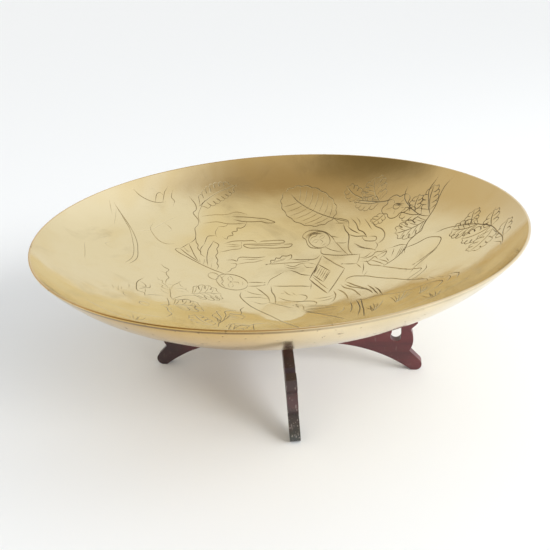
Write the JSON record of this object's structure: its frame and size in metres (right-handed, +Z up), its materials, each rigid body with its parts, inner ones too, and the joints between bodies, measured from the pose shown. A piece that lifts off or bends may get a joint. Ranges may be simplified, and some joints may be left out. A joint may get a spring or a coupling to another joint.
{
  "type": "dish on folding stand",
  "caption": "Round engraved metal dish with a plain lip, resting on a folding wooden cross stand with scroll-cut feet.",
  "frame": {"origin": "on the surface the stand stands on, under the centre of the dish, on the axis of the stand's rivet", "axes": "+Z up along the rivet and the dish's axis, Y along the lower board of the stand, X across it"},
  "size_m": [0.3984, 0.3984, 0.1406],
  "materials": {
    "dish_brass": "worn polish over a pale gold surface, engraved lines filled with dark patina",
    "lacquered_wood": "dark red-brown gloss lacquer, rubbed and stained at the feet",
    "rivet_steel": "dull, slightly tarnished",
    "burr_brass": "dull, unpolished"
  },
  "bodies": {
    "stand": {"lower_board": "lacquered_wood", "pivot_rivet": "rivet_steel", "rivet_burr": "burr_brass"},
    "cross_board": {"upper_board": "lacquered_wood"},
    "dish": {"dish": "dish_brass"}
  },
  "joints": [
    {"name": "stand_fold", "type": "hinge", "parent": "stand", "child": "cross_board", "pos_m": [0, 0, 0.0385], "axis": [0, 0, 1], "range_deg": [-54, 76]},
    {"name": "dish_lift", "type": "slide", "parent": "stand", "child": "dish", "axis": [0, 0, 1], "range_m": [0, 0.1]}
  ]
}
